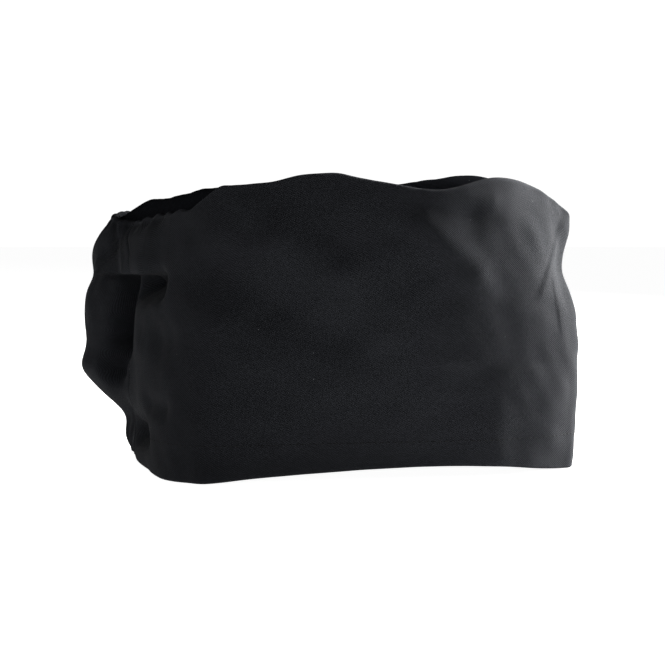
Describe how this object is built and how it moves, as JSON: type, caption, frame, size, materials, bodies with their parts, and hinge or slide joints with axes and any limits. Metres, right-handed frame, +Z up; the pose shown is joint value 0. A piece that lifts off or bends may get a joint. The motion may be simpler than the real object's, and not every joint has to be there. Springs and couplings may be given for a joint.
{
  "type": "chef skull cap",
  "caption": "Skull cap of black twill with a wide side band, a flat sewn-in crown and a gathered back panel that pouches over its drawn-in hem; stands open on its rim.",
  "frame": {"origin": "centre of the outline on the plane that the rim stands on", "axes": "+X to the front of the cap, +Y to the wearer's left, +Z up through the crown"},
  "size_m": [0.23, 0.1679, 0.1333],
  "materials": {
    "band_twill": "matte black cotton twill",
    "panel_twill": "matte black cotton twill, gathered at its hem",
    "crown_twill": "matte black cotton twill"
  },
  "bodies": {
    "root": {"side_band": "band_twill", "back_panel": "panel_twill", "crown_top": "crown_twill"}
  },
  "joints": []
}
